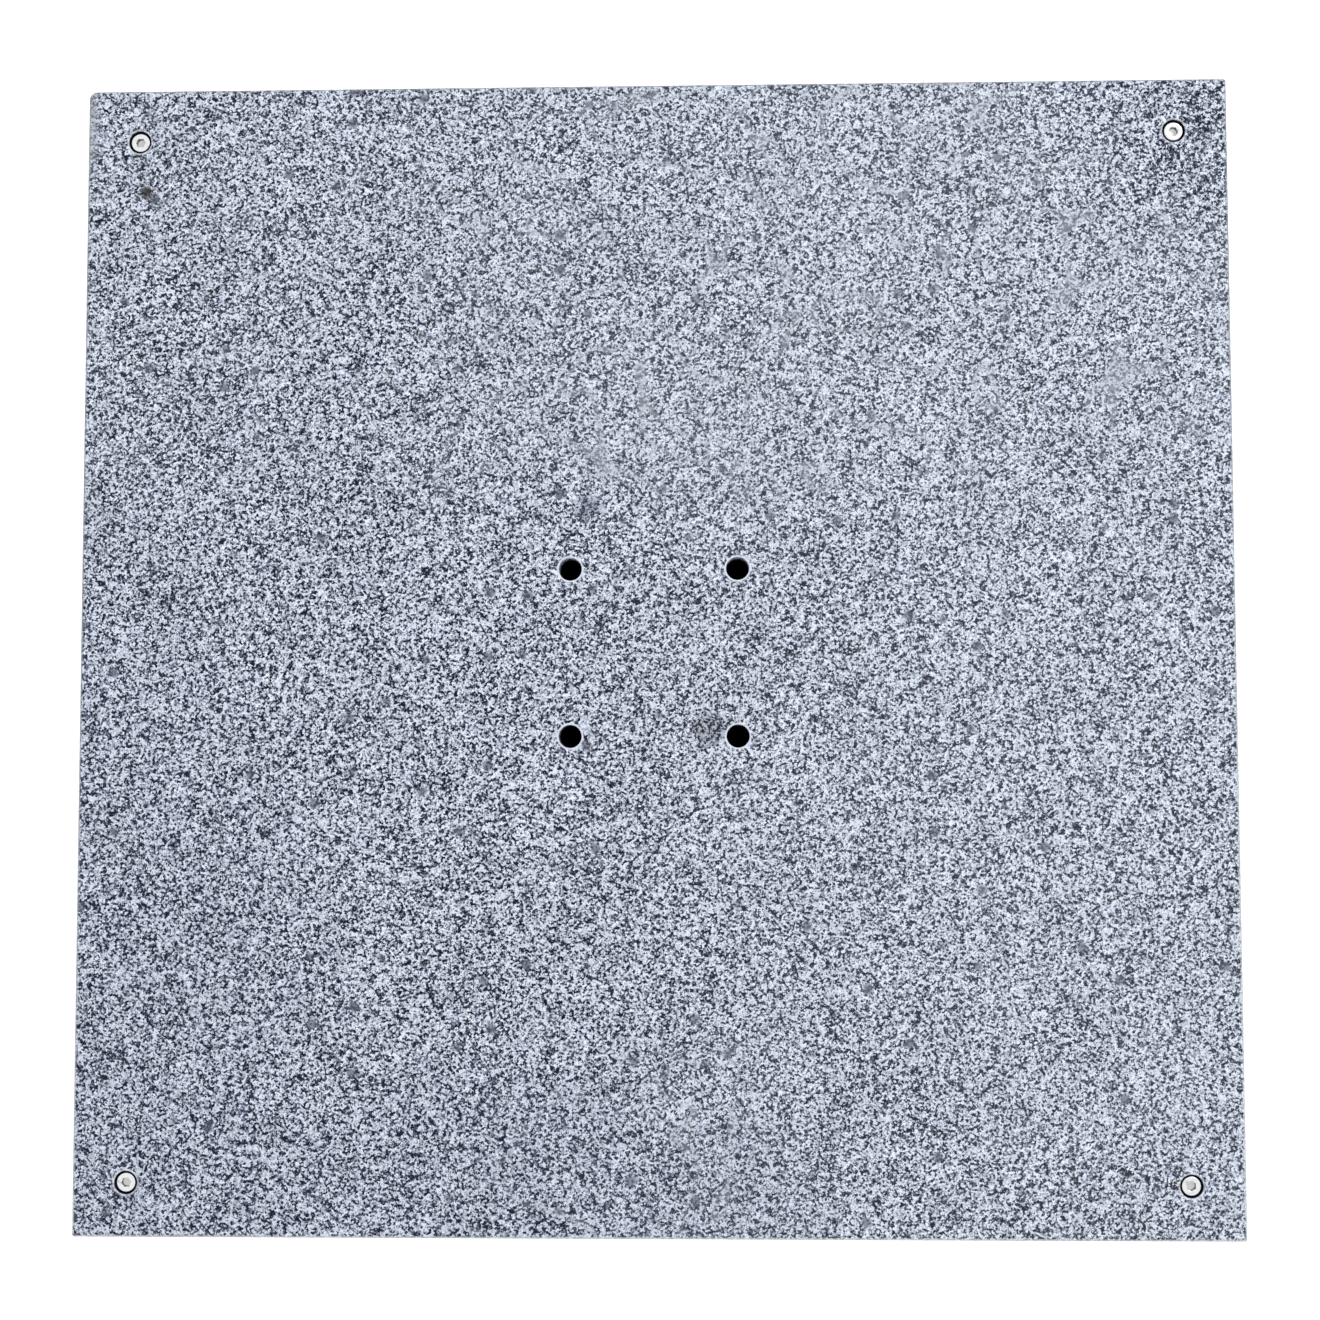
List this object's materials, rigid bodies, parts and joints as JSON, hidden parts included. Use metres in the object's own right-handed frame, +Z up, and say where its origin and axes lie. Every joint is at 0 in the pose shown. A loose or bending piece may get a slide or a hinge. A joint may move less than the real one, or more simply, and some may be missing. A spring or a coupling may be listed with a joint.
{
  "type": "granite base plate",
  "caption": "Square granite base plate that weighs down a mast or stand bolted through its middle, on levelling feet turned from above with a hex key in the corner bores.",
  "frame": {"origin": "on the floor under the slab's centre", "axes": "+Z up through the slab's thickness, -Y the front edge, +X to the right"},
  "size_m": [0.8, 0.8, 0.062],
  "materials": {
    "granite": "flamed, salt-and-pepper grey",
    "brass": "turned",
    "stainless_steel": "bright, turned",
    "spring_steel": "blackened",
    "black_nylon": "moulded, fine grain",
    "black_rubber": "matt"
  },
  "bodies": {
    "slab": {"granite_slab": "granite", "threaded_bush_front_left": "brass", "threaded_bush_front_right": "brass", "threaded_bush_rear_left": "brass", "threaded_bush_rear_right": "brass"},
    "foot_front_left": {"foot_disc_front_left": "black_nylon", "thrust_washer_front_left": "stainless_steel", "rubber_sole_front_left": "black_rubber"},
    "screw_front_left": {"levelling_screw_front_left": "stainless_steel", "retaining_clip_front_left": "spring_steel"},
    "foot_front_right": {"foot_disc_front_right": "black_nylon", "thrust_washer_front_right": "stainless_steel", "rubber_sole_front_right": "black_rubber"},
    "screw_front_right": {"levelling_screw_front_right": "stainless_steel", "retaining_clip_front_right": "spring_steel"},
    "foot_rear_left": {"foot_disc_rear_left": "black_nylon", "thrust_washer_rear_left": "stainless_steel", "rubber_sole_rear_left": "black_rubber"},
    "screw_rear_left": {"levelling_screw_rear_left": "stainless_steel", "retaining_clip_rear_left": "spring_steel"},
    "foot_rear_right": {"foot_disc_rear_right": "black_nylon", "thrust_washer_rear_right": "stainless_steel", "rubber_sole_rear_right": "black_rubber"},
    "screw_rear_right": {"levelling_screw_rear_right": "stainless_steel", "retaining_clip_rear_right": "spring_steel"}
  },
  "joints": [
    {"name": "front_left_height", "type": "slide", "parent": "slab", "child": "foot_front_left", "axis": [0, 0, -1], "range_m": [0, 0.015]},
    {"name": "front_left_turn", "type": "hinge", "parent": "foot_front_left", "child": "screw_front_left", "pos_m": [-0.363, -0.363, 0.0605], "axis": [0, 0, -1], "range_deg": [0, 4320]},
    {"name": "front_right_height", "type": "slide", "parent": "slab", "child": "foot_front_right", "axis": [0, 0, -1], "range_m": [0, 0.015]},
    {"name": "front_right_turn", "type": "hinge", "parent": "foot_front_right", "child": "screw_front_right", "pos_m": [0.363, -0.363, 0.0605], "axis": [0, 0, -1], "range_deg": [0, 4320]},
    {"name": "rear_left_height", "type": "slide", "parent": "slab", "child": "foot_rear_left", "axis": [0, 0, -1], "range_m": [0, 0.015]},
    {"name": "rear_left_turn", "type": "hinge", "parent": "foot_rear_left", "child": "screw_rear_left", "pos_m": [-0.363, 0.363, 0.0605], "axis": [0, 0, -1], "range_deg": [0, 4320]},
    {"name": "rear_right_height", "type": "slide", "parent": "slab", "child": "foot_rear_right", "axis": [0, 0, -1], "range_m": [0, 0.015]},
    {"name": "rear_right_turn", "type": "hinge", "parent": "foot_rear_right", "child": "screw_rear_right", "pos_m": [0.363, 0.363, 0.0605], "axis": [0, 0, -1], "range_deg": [0, 4320]}
  ],
  "couplings": [
    {"joint": "front_left_turn", "follows": "front_left_height", "rad_per_m": 5026.5},
    {"joint": "front_right_turn", "follows": "front_right_height", "rad_per_m": 5026.5},
    {"joint": "rear_left_turn", "follows": "rear_left_height", "rad_per_m": 5026.5},
    {"joint": "rear_right_turn", "follows": "rear_right_height", "rad_per_m": 5026.5}
  ]
}
